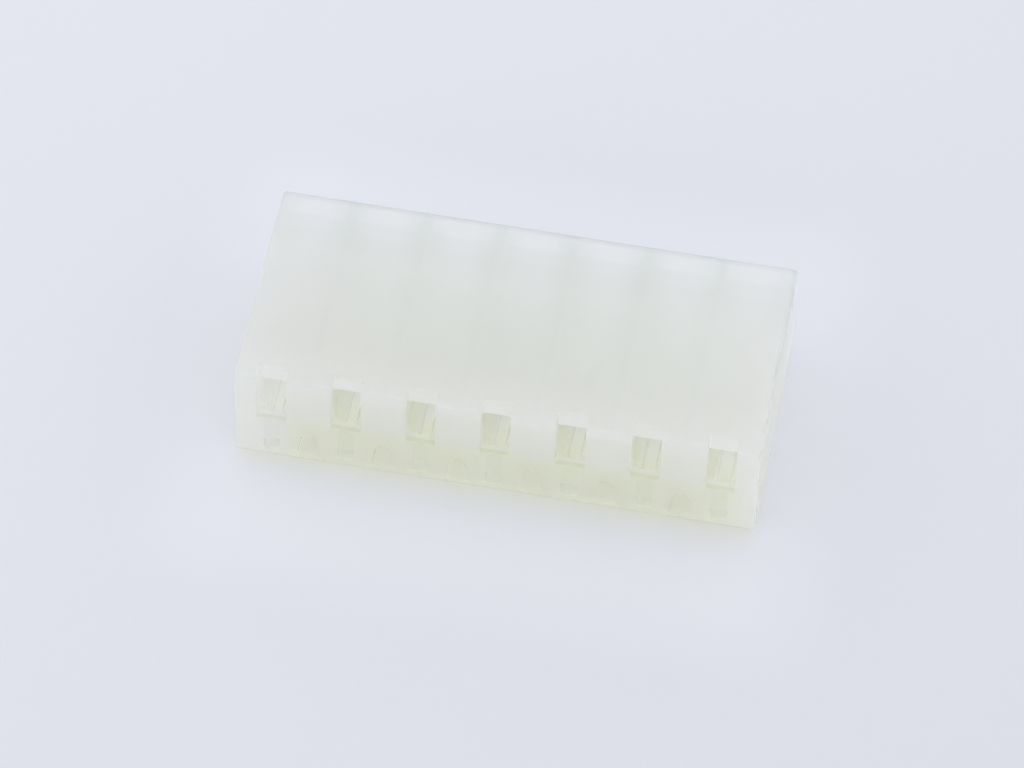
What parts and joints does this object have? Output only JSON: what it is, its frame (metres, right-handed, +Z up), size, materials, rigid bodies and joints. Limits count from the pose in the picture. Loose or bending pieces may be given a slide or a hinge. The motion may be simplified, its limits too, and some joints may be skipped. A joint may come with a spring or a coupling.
{
  "type": "wire to board connector housing",
  "caption": "Row housing for crimp terminals, with slotted mating face, open wire mouths and lance windows.",
  "frame": {"origin": "middle of the underside, at the centre of the bounding box seen from above", "axes": "+X along the row of circuits, -Y out of the mating face, +Y out of the wire mouths, +Z up"},
  "size_m": [0.0276, 0.0126, 0.0063],
  "materials": {
    "natural_nylon": "uncoloured nylon 66, milky and faintly yellow-green, fine moulded satin surface"
  },
  "bodies": {
    "root": {"housing": "natural_nylon"}
  },
  "joints": []
}
